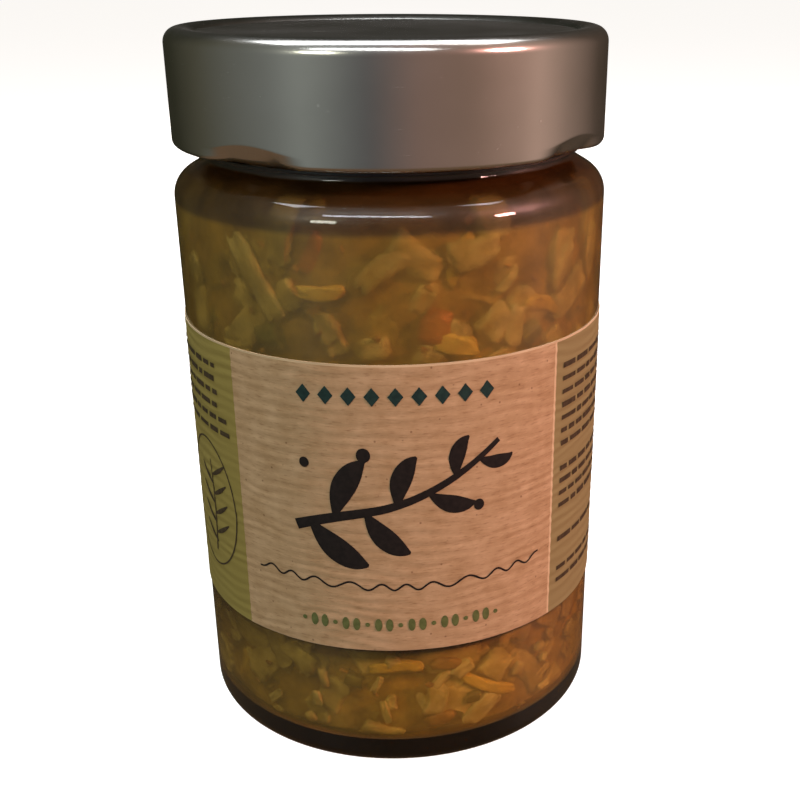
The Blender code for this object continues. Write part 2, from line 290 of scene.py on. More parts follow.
def soft_box(name, place, size, tint, brightness):
    """An area light whose brightness is its radiance: how white a mirror of it would look."""
    bpy.ops.object.light_add(type="AREA", location=place)
    lamp = name_piece(bpy.context.object, name)
    lamp.data.shape = "RECTANGLE"
    lamp.data.size, lamp.data.size_y = size
    lamp.data.color = colour(tint)[:3]
    lamp.data.energy = brightness * math.pi * size[0] * size[1]
    lamp.rotation_euler = (TARGET - Vector(place)).to_track_quat("-Z", "Y").to_euler()
    lamp.visible_camera = False
    return lamp


soft_box("top_box", (0.0, 0.06, 0.80), (0.95, 0.30), "#F2F7FF", 7.1)
soft_box("front_strip", (-0.10, -0.62, 0.76), (0.80, 0.08), "#F4F9FF", 12.3)
soft_box("warm_box", (0.78, -0.42, 0.46), (0.18, 0.14), "#FFB7B0", 70.0)
soft_box("cool_box", (-0.50, -0.70, 0.44), (0.20, 0.14), "#F4F6E4", 13.0)
back_fill = soft_box("back_fill", (-0.15, 0.85, 0.38), (0.60, 0.40), "#FFEBDD", 5.0)
back_fill.visible_glossy = False
bpy.context.scene.view_settings.view_transform = "Standard"
bpy.context.scene.cycles.caustics_reflective = False
bpy.context.scene.cycles.caustics_refractive = False
bpy.context.scene.cycles.max_bounces = 16
bpy.context.scene.cycles.transmission_bounces = 14

# %% [markdown]
# ## The glass jar
# A pressed-and-blown jar is round, so half of its cross-section says everything. By hand, one
# would start from a single point, extrude it along the section and spin the line round the jar's
# axis. A cylinder with many loops would also do, but then every ring has to be found and scaled.
# The section here has real arcs: a heel, a shoulder, the groove under the lid, a bead and thread.

# %% Sizes of the glass
BODY_RADIUS = 37.2 * MM
WALL = 2.2 * MM
INNER_RADIUS = BODY_RADIUS - WALL
BASE_THICKNESS = 3.7 * MM
PUSH_UP = 1.1 * MM
FOOT_INNER_RADIUS = 31.0 * MM
FOOT_SLOPE = 1.6 * MM
HEEL_RADIUS = 2.6 * MM
INNER_HEEL_RADIUS = 3.0 * MM
INNER_DOME = 0.7 * MM
SHOULDER_Z = 95.9 * MM
SHOULDER_RADIUS = 4.7 * MM
INNER_SHOULDER = 3.5 * MM
SHOULDER_ARC = 60
NECK_RADIUS = 31.3 * MM
NECK_GROOVE = 1.2 * MM
NECK_BEND = 2.0 * MM
BEAD_RADIUS = 32.6 * MM
BEAD_TOP = 104.3 * MM
MOUTH_RADIUS = 28.9 * MM
MOUTH_Z = 121.1 * MM
FINISH_RADIUS = 31.9 * MM
THREAD_RADIUS = 33.8 * MM
THREAD_Z = 110.2 * MM
THREAD_HEIGHT = 2.4 * MM
LIP_ROUNDING = 1.0 * MM
TURN_STEPS = 240
WELD = 0.002 * MM


def arc(centre, radius, start, end, steps):
    """Section points along an arc between two angles in degrees. 0 points away from the axis."""
    angles = [math.radians(start + (end - start) * i / steps) for i in range(steps + 1)]
    return [(centre[0] + radius * math.cos(a), centre[1] + radius * math.sin(a)) for a in angles]


def cone_height(r, corner):
    """Height at radius r on the shoulder's cone, which leaves its corner arc at this point."""
    return corner[1] + (corner[0] - r) / math.tan(math.radians(SHOULDER_ARC))


def inner_section(swell):
    """The inside from the middle of the bottom up to the mouth, pushed out into the wall by swell."""
    flat = INNER_RADIUS - INNER_HEEL_RADIUS
    dome = [(flat * i / 8, BASE_THICKNESS + INNER_DOME * (1 - (i / 8) ** 2) - swell) for i in range(8)]
    heel = arc((flat, BASE_THICKNESS + INNER_HEEL_RADIUS), INNER_HEEL_RADIUS + swell, -90, 0, 10)
    corner = arc((INNER_RADIUS - INNER_SHOULDER, SHOULDER_Z), INNER_SHOULDER + swell, 0, SHOULDER_ARC, 10)
    bend = NECK_BEND - swell
    low = MOUTH_RADIUS + swell + bend * (1 - math.cos(math.radians(SHOULDER_ARC)))
    bend_z = cone_height(low, corner[-1]) + bend * math.sin(math.radians(SHOULDER_ARC))
    neck = arc((MOUTH_RADIUS + NECK_BEND, bend_z), bend, 180 + SHOULDER_ARC, 180, 6)
    return dome + heel + corner + neck


def outer_section():
    """The outside from the mouth down to the middle of the base."""
    lip = arc((FINISH_RADIUS - LIP_ROUNDING, MOUTH_Z - LIP_ROUNDING), LIP_ROUNDING, 90, 0, 5)
    slope = THREAD_RADIUS - FINISH_RADIUS
    thread = [
        (FINISH_RADIUS, THREAD_Z + THREAD_HEIGHT / 2),
        (THREAD_RADIUS, THREAD_Z + THREAD_HEIGHT / 2 - slope / 2),
        (THREAD_RADIUS, THREAD_Z - THREAD_HEIGHT / 2 + slope / 2),
        (FINISH_RADIUS, THREAD_Z - THREAD_HEIGHT / 2),
        (FINISH_RADIUS, BEAD_TOP),
    ]
    bead_size = BEAD_RADIUS - FINISH_RADIUS
    bead = arc((FINISH_RADIUS, BEAD_TOP - bead_size), bead_size, 60, -30, 5)
    corner = arc((BODY_RADIUS - SHOULDER_RADIUS, SHOULDER_Z), SHOULDER_RADIUS, SHOULDER_ARC, 0, 14)
    low = NECK_RADIUS + NECK_GROOVE * (1 - math.cos(math.radians(SHOULDER_ARC)))
    groove_z = cone_height(low, corner[0]) + NECK_GROOVE * math.sin(math.radians(SHOULDER_ARC))
    groove = arc((NECK_RADIUS + NECK_GROOVE, groove_z), NECK_GROOVE, 120, 180 + SHOULDER_ARC, 9)
    heel = arc((BODY_RADIUS - HEEL_RADIUS, HEEL_RADIUS), HEEL_RADIUS, 0, -90, 10)
    foot = [(FOOT_INNER_RADIUS, 0.0), (FOOT_INNER_RADIUS - FOOT_SLOPE, 0.8 * PUSH_UP), (0.0, PUSH_UP)]
    return lip + thread + bead + groove + corner + heel + foot


lip_inside = arc((MOUTH_RADIUS + LIP_ROUNDING, MOUTH_Z - LIP_ROUNDING), LIP_ROUNDING, 180, 90, 5)
glass_section = inner_section(0.0) + lip_inside + outer_section()
print("the glass section has", len(glass_section), "points")

# %% [markdown]
# The lathe helper below works as one would by hand. It adds a plane, merges its corners into one
# point, moves that to the start of the section, and extrudes it from point to point. Spin then
# turns the line round the axis. The ends of a full turn lie on each other, so doubles are merged,
# and the normals are made to point outwards.

# %% Turning a section on the lathe
def lathe(name, section, steps=TURN_STEPS):
    bpy.ops.mesh.primitive_plane_add(size=MM)
    piece = name_piece(bpy.context.object, name)
    bpy.ops.object.mode_set(mode="EDIT")
    bpy.ops.mesh.merge(type="CENTER")
    bpy.ops.transform.translate(value=(section[0][0], 0.0, section[0][1]))
    for here, there in zip(section, section[1:]):
        step = (there[0] - here[0], 0.0, there[1] - here[1])
        bpy.ops.mesh.extrude_region_move(TRANSFORM_OT_translate={"value": step})
    bpy.ops.mesh.select_all(action="SELECT")
    bpy.ops.mesh.spin(steps=steps, angle=math.tau, center=(0.0, 0.0, 0.0), axis=(0.0, 0.0, 1.0))
    bpy.ops.mesh.select_all(action="SELECT")
    bpy.ops.mesh.remove_doubles(threshold=WELD)
    bpy.ops.mesh.normals_make_consistent(inside=False)
    bpy.ops.object.mode_set(mode="OBJECT")
    return piece


jar_glass = lathe("jar_glass", glass_section)
print("jar_glass is", round(1000 * jar_glass.dimensions.x, 1), "mm wide")

# %% [markdown]
# ## Soda-lime glass
# Jars are pressed from soda-lime glass, with an IOR close to 1.5. It is clear in thin walls and
# faintly olive along its thick base. The colour is in the volume, as plain absorption, so that it
# grows with the length of the light's path. The mould leaves slow waves in the wall, which make
# highlights wander a little.

# %% Glass material
GLASS_WAVE_MM = 14.0
GLASS_WAVE_DEPTH = 0.012 * MM
GLASS_TINT_DENSITY = 14.0

soda_lime, tree, shader = new_material("soda_lime_glass")
set_inputs(tree, shader, {"Base Color": colour("#FFFFFF"), "Transmission Weight": 1.0})
set_inputs(tree, shader, {"IOR": 1.5, "Roughness": 0.01})
mm = object_mm(tree)
wave = add_node(tree, "TexNoise", {"Vector": mm, "Scale": 1 / GLASS_WAVE_MM, "Detail": 1.0})
wave_bump = add_node(tree, "Bump", {"Height": wave.outputs["Fac"], "Distance": GLASS_WAVE_DEPTH})
set_inputs(tree, shader, {"Normal": wave_bump.outputs[0]})
tint = add_node(tree, "VolumeAbsorption", {"Color": colour("#C4C08E"), "Density": GLASS_TINT_DENSITY})
set_inputs(tree, tree.nodes["Material Output"], {"Volume": tint.outputs[0]})
finish(jar_glass, soda_lime, "glass_jar")
jar_glass.visible_shadow = False

# %% [markdown]
# ## The tin lid
# The cap is drawn from thin tinplate: a sunk panel, a rounded rim, a deep straight skirt, and a
# lower edge rolled into a bead. Its section is turned on the same lathe.
# Four lugs are pressed in at the bottom, to grip the thread. Each is a low arch with a sharp
# crease on top, below which the sheet slants inwards. Rows of the skirt follow that arch, so
# that the crease is a real edge in the mesh and not a jagged line.

# %% Lid section
LID_RADIUS = 36.75 * MM
LID_TOP = 122.75 * MM
LID_BOTTOM = 104.4 * MM
LID_SHEET = 0.5 * MM
LID_CORNER = 2.4 * MM
RIM_FLANK_RADIUS = 33.0 * MM
RIM_FLANK_DROP = 0.12 * MM
PANEL_RADIUS = 31.8 * MM
PANEL_BEND = 0.3 * MM
PANEL_SINK = 0.85 * MM
PANEL_Z = LID_TOP - PANEL_SINK
CURL_RADIUS = 0.95 * MM
CURL_Z = LID_BOTTOM + CURL_RADIUS
EDGE_TOP = LID_BOTTOM + 2 * CURL_RADIUS
CREASE_START = EDGE_TOP + 0.7 * MM
SKIRT_FREE = EDGE_TOP + 3.5 * MM
UPPER_ROWS = 8
LOWER_ROWS = 8


def skirt_rows(radius):
    """Skirt points from above the lugs down to the rolled edge, dense where the lugs are."""
    upper = [SKIRT_FREE + (CREASE_START - SKIRT_FREE) * i / UPPER_ROWS for i in range(UPPER_ROWS)]
    lower = [CREASE_START + (EDGE_TOP - CREASE_START) * i / LOWER_ROWS for i in range(LOWER_ROWS + 1)]
    return [(radius, z) for z in upper + lower]


corner_centre = (LID_RADIUS - LID_CORNER, LID_TOP - LID_CORNER)
panel = [(PANEL_RADIUS * i / 6, PANEL_Z) for i in range(6)]
panel += arc((PANEL_RADIUS - PANEL_BEND, PANEL_Z + PANEL_BEND), PANEL_BEND, -90, -38, 3)
flank = [(RIM_FLANK_RADIUS, LID_TOP - RIM_FLANK_DROP)]
curl = arc((LID_RADIUS - CURL_RADIUS, CURL_Z), CURL_RADIUS, 0, -240, 20)
inside_corner = arc(corner_centre, LID_CORNER - LID_SHEET, 0, 90, 6)
under_panel = [(PANEL_RADIUS + 0.1 * MM, PANEL_Z - LID_SHEET), (0.0, PANEL_Z - LID_SHEET)]
lid_section = panel + flank + arc(corner_centre, LID_CORNER, 90, 0, 14)
lid_section += skirt_rows(LID_RADIUS) + curl + skirt_rows(LID_RADIUS - LID_SHEET)[::-1][2:]
lid_section += inside_corner + under_panel
tin_lid = lathe("tin_lid", lid_section)
print("tin_lid is", round(1000 * tin_lid.dimensions.x, 2), "mm wide")

# %% Pressing the lugs
LUG_COUNT = 4
LUG_FIRST = -36.0
LUG_HALF_ANGLE = 17.0
LUG_RISE = 1.3 * MM
LUG_PRESS = 1.9 * MM
LUG_FLATNESS = 1.7
LEAST_ROW = 0.15 * MM


def press_lugs(mesh):
    """Moves skirt rows onto each lug's arch, then presses what lies below the arch inwards."""
    pitch = 360.0 / LUG_COUNT
    for vertex in mesh.vertices:
        x, y, z = vertex.co
        r = math.hypot(x, y)
        if r < RIM_FLANK_RADIUS or z > SKIRT_FREE:
            continue
        off = (math.degrees(math.atan2(x, -y)) - LUG_FIRST + pitch / 2) % pitch - pitch / 2
        window = 0.5 + 0.5 * math.cos(math.pi * min(1.0, abs(off) / LUG_HALF_ANGLE))
        crease = EDGE_TOP + max(LEAST_ROW, LUG_RISE * window)
        if z > CREASE_START:
            z = crease + (z - CREASE_START) * (SKIRT_FREE - crease) / (SKIRT_FREE - CREASE_START)
        elif z > EDGE_TOP:
            z = EDGE_TOP + (z - EDGE_TOP) * (crease - EDGE_TOP) / (CREASE_START - EDGE_TOP)
        slant = (crease - z) / (crease - LID_BOTTOM)
        pressed = LUG_PRESS * min(1.0, LUG_FLATNESS * window) * min(1.0, max(0.0, slant))
        vertex.co = (x * (r - pressed) / r, y * (r - pressed) / r, z)


press_lugs(tin_lid.data)
print("pressed", LUG_COUNT, "lugs,", round(LUG_RISE / MM, 1), "mm high")

# %% [markdown]
# ## Lacquered tinplate
# Tinplate is steel with a thin coat of tin, under a clear lacquer. It reflects like a metal, in a
# warm grey, and its satin finish blurs what it mirrors. Handling leaves hair scratches and specks.
# The scratches are noise that is squeezed along one direction, so that it draws fine threads, and
# only the peaks of that noise show. The specks are the middles of Voronoi cells.

# %% Tinplate material
SCRATCH_MM = 0.22
SCRATCH_LENGTH_MM = 9.0
SCRATCH_TURN = (0.3, 0.5, 0.7)
SMUDGE_MM = 16.0
SPECK_MM = 7.5
DENT_DEPTH = 0.02 * MM
MARK_DEPTH = 0.004 * MM
MARK_ROUGHNESS = 0.12

tinplate, tree, shader = new_material("lacquered_tinplate")
mm = object_mm(tree)
smudge = add_node(tree, "TexNoise", {"Vector": mm, "Scale": 1 / SMUDGE_MM, "Detail": 4.0})
tone = colour_ramp(tree, smudge.outputs["Fac"], ((0.3, "#C6C3BB"), (0.7, "#CECBC4")))
thread_scale = (1 / SCRATCH_LENGTH_MM, 1 / SCRATCH_MM, 1 / SCRATCH_MM)
squeeze = add_node(tree, "Mapping", {"Vector": mm, "Rotation": SCRATCH_TURN, "Scale": thread_scale})
threads = add_node(tree, "TexNoise", {"Vector": squeeze.outputs[0], "Scale": 1.0, "Detail": 2.0})
scratch = remap(tree, threads.outputs["Fac"], 0.71, 0.80, 0.0, 0.5)
cells = add_node(tree, "TexVoronoi", {"Vector": mm, "Scale": 1 / SPECK_MM})
speck = remap(tree, cells.outputs["Distance"], 0.035, 0.02, 0.0, 0.5)
marks = compute(tree, "MAXIMUM", scratch, speck)
marked = mix_colours(tree, marks, tone, colour("#E9E6DF"))
rough = remap(tree, smudge.outputs["Fac"], 0.3, 0.7, 0.20, 0.24)
rough_marks = compute(tree, "MULTIPLY_ADD", marks, MARK_ROUGHNESS, rough)
dent = add_node(tree, "TexNoise", {"Vector": mm, "Scale": 1 / SMUDGE_MM, "Detail": 1.0})
dent_bump = add_node(tree, "Bump", {"Height": dent.outputs["Fac"], "Distance": DENT_DEPTH})
mark_bump = add_node(
    tree, "Bump", {"Height": marks, "Distance": MARK_DEPTH, "Normal": dent_bump.outputs[0]}
)
set_inputs(tree, shader, {"Base Color": marked, "Metallic": 1.0})
set_inputs(tree, shader, {"Roughness": rough_marks, "Normal": mark_bump.outputs[0]})
finish(tin_lid, tinplate, "lid")

# %% [markdown]
# ## The paper label
# The label is one strip of ribbed kraft paper, stuck round the front and both sides. Flat, it is
# a rectangle, so it starts as a grid of that size. The grid keeps its UV map while it is bent
# round the jar, and so the print can later be laid out in millimetres along the paper.
# The ribs run round the jar, about 1.9 mm apart and a little wavy. They catch light, so they are
# real relief in the mesh and not only bump. Solidify gives the paper its thickness.

# %% Label strip
LABEL_BOTTOM = 24.2 * MM
LABEL_TOP = 75.6 * MM
LABEL_HEIGHT = LABEL_TOP - LABEL_BOTTOM
LABEL_HALF_TURN = math.radians(126)
LABEL_RADIUS = BODY_RADIUS + 0.06 * MM
LABEL_WIDTH = 2 * LABEL_HALF_TURN * LABEL_RADIUS
PAPER = 0.14 * MM
RIB_PITCH = 1.9 * MM
RIB_DEPTH = 0.045 * MM
RIB_ROWS = 7
LABEL_COLUMNS = 220


def rib_height(along, up):
    """Height of the paper's ribs at a place on the flat strip."""
    sway = 1.10 * noise.noise(Vector((along / (26 * MM), up / (24 * MM), 3.0)))
    drift = 0.42 * noise.noise(Vector((along / (7 * MM), up / (4 * MM), 8.0)))
    weight = 0.75 + 1.1 * noise.noise(Vector((along / (9 * MM), up / (2.5 * MM), 5.0)))
    return RIB_DEPTH * weight * math.cos(math.tau * (up / RIB_PITCH + sway + drift))


def size_and_place(size, place):
    """Gives the newest primitive its size and place, and keeps both in its mesh."""
    piece = bpy.context.object
    piece.scale = size
    piece.location = place
    bpy.ops.object.transform_apply(location=True, rotation=False, scale=True)
    return piece


def wrap(mesh, radius, relief=None):
    """Bends a flat mesh round the jar: X runs along the paper, Y up it and Z out of it."""
    for vertex in mesh.vertices:
        along, up, out = vertex.co
        r = radius + out + (relief(along, up) if relief else 0.0)
        vertex.co = (r * math.sin(along / radius), -r * math.cos(along / radius), up)


bpy.ops.mesh.primitive_grid_add(
    x_subdivisions=LABEL_COLUMNS, y_subdivisions=round(LABEL_HEIGHT / RIB_PITCH * RIB_ROWS), size=1.0
)
paper_label = name_piece(bpy.context.object, "paper_label")
size_and_place((LABEL_WIDTH, LABEL_HEIGHT, 1.0), (0.0, (LABEL_BOTTOM + LABEL_TOP) / 2, 0.0))
wrap(paper_label.data, LABEL_RADIUS, rib_height)
thick = paper_label.modifiers.new("Paper", "SOLIDIFY")
thick.thickness = PAPER
thick.offset = 1.0
apply_modifiers(paper_label)
print("label is", round(LABEL_WIDTH / MM), "by", round(LABEL_HEIGHT / MM, 1), "mm")

# %% [markdown]
# ## Kraft paper
# Kraft paper is made from unbleached wood pulp: mid brown, matte, with fibres both darker and
# lighter than the sheet, and a few specks of bark. The front field is bare kraft. Green ink tints
# the left panel and olive ink the right one. A thin bare line runs before the right panel and
# along the top edge.
# The UV map is multiplied by the strip's size, so every length below is in millimetres. The
# colours are laid over each other one by one, as a printer would, and each has its own cover.

# %% Kraft material
FIELD_LEFT_MM = -29.5
FIELD_RIGHT_MM = 28.9
FIELD_LINE_MM = 0.5
EDGE_LINE_MM = 0.35
FIBRE_MM = (1.7, 0.30, 1.0)
FIBRE_LEAN = 0.12
FIBRE_DEPTH = 0.03 * MM
MOTTLE_MM = 4.0
BARK_MM = 2.6

kraft, tree, shader = new_material("ribbed_kraft_paper")
uv = add_node(tree, "TexCoord").outputs["UV"]
sheet_mm = (LABEL_WIDTH / MM, LABEL_HEIGHT / MM, 1.0)
paper = add_node(
    tree, "Mapping", {"Vector": uv, "Location": (-sheet_mm[0] / 2, 0.0, 0.0), "Scale": sheet_mm}
).outputs[0]
places = add_node(tree, "SeparateXYZ", {0: paper})
along, up = places.outputs["X"], places.outputs["Y"]
mottle = add_node(tree, "TexNoise", {"Vector": paper, "Scale": 1 / MOTTLE_MM, "Detail": 5.0})
sheet = colour_ramp(tree, mottle.outputs["Fac"], ((0.3, "#B6956C"), (0.7, "#CAAA82")))
fibre_map = add_node(
    tree, "Mapping",
    {"Vector": paper, "Rotation": (0.0, 0.0, FIBRE_LEAN), "Scale": tuple(1 / size for size in FIBRE_MM)},
)
fibre = add_node(tree, "TexNoise", {"Vector": fibre_map.outputs[0], "Scale": 1.0, "Detail": 3.0})
dark_fibre = remap(tree, fibre.outputs["Fac"], 0.56, 0.74, 0.0, 0.55)
light_fibre = remap(tree, fibre.outputs["Fac"], 0.42, 0.28, 0.0, 0.45)
bark = add_node(tree, "TexVoronoi", {"Vector": paper, "Scale": 1 / BARK_MM})
bark_spot = remap(tree, bark.outputs["Distance"], 0.09, 0.05, 0.0, 0.6)

# %% Tinted panels and bare lines
left_panel = compute(tree, "LESS_THAN", along, FIELD_LEFT_MM)
right_panel = compute(tree, "GREATER_THAN", along, FIELD_RIGHT_MM + FIELD_LINE_MM)
line_off = compute(tree, "SUBTRACT", along, FIELD_RIGHT_MM + FIELD_LINE_MM / 2)
line_far = compute(tree, "ABSOLUTE", line_off)
line = compute(tree, "LESS_THAN", line_far, FIELD_LINE_MM / 2)
top_edge = compute(tree, "GREATER_THAN", up, LABEL_HEIGHT / MM - EDGE_LINE_MM)
bare = compute(tree, "MAXIMUM", line, top_edge)
layers = (
    (dark_fibre, "#8A6540"),
    (light_fibre, "#DDB98F"),
    (bark_spot, "#6B4A2C"),
    (left_panel, "#9A8A48"),
    (right_panel, "#978A5C"),
    (bare, "#DCC39A"),
)
for cover, code in layers:
    sheet = mix_colours(tree, cover, sheet, colour(code))
fibre_bump = add_node(tree, "Bump", {"Height": fibre.outputs["Fac"], "Distance": FIBRE_DEPTH})
set_inputs(tree, shader, {"Base Color": sheet, "Normal": fibre_bump.outputs[0]})
set_inputs(tree, shader, {"Roughness": 0.82, "Specular IOR Level": 0.3})
finish(paper_label, kraft, "label")

# %% [markdown]
# ## The print
# The print is generic: a brushed sprig, a row of lozenges, a wavy line, a row of dots and ruled
# bars where small print would be. Each mark could be painted in the paper's material, but thin
# films of ink are easier to model by hand, and they stay sharp at any size. A stroke is a curve
# with its own radius at each point, flattened to a film and bent round the jar with the paper.

# %% Brush strokes
INK_FILM = 0.03 * MM
INK_RADIUS = LABEL_RADIUS + PAPER + 1.6 * RIB_DEPTH
BRUSH_FLATTEN = 0.02


def stroke(points, name):
    """A brushed stroke through (x, y, half width) points in millimetres, as a flattened curve."""
    curve = bpy.data.curves.new(name, "CURVE")
    curve.dimensions = "3D"
    curve.bevel_depth = MM
    curve.bevel_resolution = 3
    curve.use_fill_caps = True
    curve.resolution_u = 10
    spline = curve.splines.new("NURBS")
    spline.points.add(len(points) - 1)
    spline.order_u = 4
    spline.use_endpoint_u = True
    for point, (x, y, half_width) in zip(spline.points, points):
        point.co = (x * MM, y * MM, 0.0, 1.0)
        point.radius = half_width
    ink = bpy.data.objects.new(name, curve)
    bpy.context.collection.objects.link(ink)
    pick(ink)
    bpy.ops.object.convert(target="MESH")
    for vertex in ink.data.vertices:
        vertex.co.z *= BRUSH_FLATTEN
    return ink


def dot(x, y, width, height, sides=20):
    """A round or pointed spot of ink, as a thin disc."""
    bpy.ops.mesh.primitive_cylinder_add(vertices=sides, radius=0.5, depth=1.0)
    return size_and_place((width * MM, height * MM, 2 * INK_FILM), (x * MM, y * MM, 0.0))


def bar(x, y, width, height):
    """A bar of ink, split along its length so that it can bend round the jar."""
    bpy.ops.mesh.primitive_grid_add(x_subdivisions=max(1, round(width)), y_subdivisions=1, size=1.0)
    return size_and_place((width * MM, height * MM, 1.0), (x * MM, y * MM, INK_FILM))


def print_on_label(marks, name, material):
    """Joins flat marks to one piece, bends it round the jar and finishes it."""
    pick(*marks)
    bpy.ops.object.join()
    piece = name_piece(bpy.context.object, name)
    wrap(piece.data, INK_RADIUS)
    return finish(piece, material)


# %% [markdown]
# Printing ink soaks into kraft, so it is matte and never quite even. One function mixes each ink
# from its colour and a slightly lighter one, in blotches of about a millimetre.

# %% Ink materials
BLOTCHES_PER_MM = 1.1


def ink_material(name, dark, light):
    ink, tree, shader = new_material(name)
    mm = object_mm(tree)
    blotch = add_node(tree, "TexNoise", {"Vector": mm, "Scale": BLOTCHES_PER_MM, "Detail": 4.0})
    tone = colour_ramp(tree, blotch.outputs["Fac"], ((0.35, dark), (0.7, light)))
    set_inputs(tree, shader, {"Base Color": tone, "Roughness": 0.7, "Specular IOR Level": 0.3})
    return ink


black_ink = ink_material("black_printing_ink", "#15110F", "#221C19")
teal_ink = ink_material("dark_teal_printing_ink", "#16302E", "#22403B")
sage_ink = ink_material("sage_printing_ink", "#5C6638", "#6E7845")
umber_ink = ink_material("umber_printing_ink", "#3E3220", "#544630")
print("inks:", [ink.name for ink in (black_ink, teal_ink, sage_ink, umber_ink)])

# %% [markdown]
# The sprig is a stem of six points with leaves that alternate from side to side and get smaller
# towards its tip. A leaf is one stroke too: its shape gives, for each share of its length, how far
# it bows and how wide it is. Three berries fill the gaps.

# %% The sprig
STEM = ((-17.5, 47.0), (-11.0, 49.5), (-3.0, 50.5), (5.0, 53.5), (12.0, 57.5), (17.0, 61.5))
LEAVES = 7
LEAF_LENGTH_MM = 12.2
LEAF_WIDTH_MM = 2.6
LEAF_SHAPE = ((0.0, 0.0, 0.15), (0.3, 0.9, 0.8), (0.6, 1.2, 1.0), (0.88, 0.7, 0.62), (1.0, 0.0, 0.1))


def stem_place(share):
    """A place along the stem, from 0 at its foot to 1 at its tip."""
    step = min(len(STEM) - 2, int(share * (len(STEM) - 1)))
    part = share * (len(STEM) - 1) - step
    (x0, y0), (x1, y1) = STEM[step], STEM[step + 1]
    return x0 + (x1 - x0) * part, y0 + (y1 - y0) * part, math.degrees(math.atan2(y1 - y0, x1 - x0))


sprig = [stroke([(x, y, 0.95 - 0.10 * i) for i, (x, y) in enumerate(STEM)], "stem")]
for i in range(LEAVES):
    share = 0.08 + 0.13 * i
    x, y, lean = stem_place(share)
    side = 1 if i % 2 else -1
    turn = math.radians(lean + side * (58 - 3 * i))
    length = LEAF_LENGTH_MM - i
    width = LEAF_WIDTH_MM - 0.20 * i
    leaf_points = []
    for part, bow, fat in LEAF_SHAPE:
        reach, swing = part * length, side * bow
        leaf_x = x + reach * math.cos(turn) - swing * math.sin(turn)
        leaf_y = y + reach * math.sin(turn) + swing * math.cos(turn)
        leaf_points.append((leaf_x, leaf_y, fat * width))
    sprig.append(stroke(leaf_points, "leaf"))
sprig += [dot(-5.5, 60.5, 2.3, 2.5), dot(13.5, 50.5, 1.8, 2.0), dot(-15.5, 58.5, 1.7, 1.8)]
print_on_label(sprig, "ink_sprig", black_ink)

# %% Lozenges, wavy line, dots and small print
LOZENGES = 9
THIN_LINE_MM = 0.17
lozenges = [dot(-15.0 + 3.72 * i, 70.4, 2.5, 3.1, 4) for i in range(LOZENGES)]
print_on_label(lozenges, "ink_lozenges", teal_ink)

WAVE_HALF_MM = 26.0
WAVE_Z_MM = 36.6
WAVE_STEPS = 60
wave_points = []
for i in range(WAVE_STEPS + 1):
    x = WAVE_HALF_MM * (2 * i / WAVE_STEPS - 1)
    y = WAVE_Z_MM + 0.0016 * x * x + 0.75 * math.sin(x * 1.25 + 1.1 * math.sin(x * 0.31))
    wave_points.append((x, y, THIN_LINE_MM))
print_on_label([stroke(wave_points, "wave")], "ink_wave", black_ink)

dots = [dot(-17.0 + 1.88 * i, 29.3, 1.25 if i % 3 else 0.8, 2.4 if i % 3 else 0.8) for i in range(19)]
print_on_label(dots, "ink_dots", sage_ink)

# %% [markdown]
# Small print can't be read at this size. Rows of short bars of uneven length give its grain,
# ragged at the end of each row, with a gap between paragraphs. The left panel also has an emblem:
# a twig in an oval.

# %% Ruled bars and the emblem
PRINT_SEED = 5
ROW_PITCH_MM = 2.35
WORD_GAP_MM = 0.75
draw = random.Random(PRINT_SEED)


def paragraph(left, right, top, rows):
    """Rows of short bars from a left edge to a ragged right edge, as flat pieces."""
    words = []
    for row in range(rows):
        x = left
        end = right - draw.uniform(0.0, 5.0)
        while x < end - 1.0:
            width = min(draw.uniform(1.4, 4.6), end - x)
            words.append(bar(x + width / 2, top - ROW_PITCH_MM * row, width, draw.uniform(0.75, 1.0)))
            x += width + WORD_GAP_MM
    return words


small_print = paragraph(31.5, 75.0, 70.8, 7) + paragraph(31.5, 75.0, 52.0, 4)
small_print += paragraph(31.5, 50.0, 38.3, 1) + paragraph(31.5, 66.0, 32.4, 2)
small_print += paragraph(-76.0, -31.0, 71.0, 6) + paragraph(-76.0, -55.0, 52.0, 5)
print_on_label(small_print, "ink_small_print", umber_ink)

EMBLEM_X, EMBLEM_Z = -41.0, 44.0
OVAL_WIDE, OVAL_HIGH = 9.4, 12.4
OVAL_STEPS = 24
oval = []
for i in range(OVAL_STEPS + 1):
    turn = math.tau * i / OVAL_STEPS
    oval.append((EMBLEM_X + OVAL_WIDE * math.cos(turn), EMBLEM_Z + OVAL_HIGH * math.sin(turn), THIN_LINE_MM))
emblem = [stroke(oval, "oval")]
twig = [
    (EMBLEM_X + 0.9, EMBLEM_Z - 9.5, 0.25),
    (EMBLEM_X + 2.4, EMBLEM_Z, 0.25),
    (EMBLEM_X + 1.2, EMBLEM_Z + 8.5, 0.15),
]
emblem.append(stroke(twig, "emblem_twig"))
for i in range(8):
    side = 1 if i % 2 else -1
    x = EMBLEM_X + 1.8
    y = EMBLEM_Z - 7.5 + 1.9 * i
    leaf_points = [(x, y, 0.2), (x + side * 2.6, y + 1.2, 0.7), (x + side * 4.8, y + 3.0, 0.1)]
    emblem.append(stroke(leaf_points, "emblem_leaf"))
print_on_label(emblem, "ink_emblem", umber_ink)

# %% [markdown]
# ## The kimchi
# Packed kimchi fills the jar from wall to wall. What shows is the outer few millimetres: pale cut
# stalks and torn leaves pressed against the glass, bits of radish and carrot, yellow pepper, green
# stems and seeds, with darker gaps between. So a bumpy core takes the place of everything hidden,
# and the cut pieces lie between it and the glass. Each kind is modelled once, then copied with its
# own mesh, and each copy is stretched, crumpled by noise and bent to the wall.

# %% Room inside the glass
HEAP_TOP = 98.5 * MM
CORE_DEPTH = 2.9 * MM
SKIN_GAP = 0.12 * MM
KIMCHI_SEED = 12


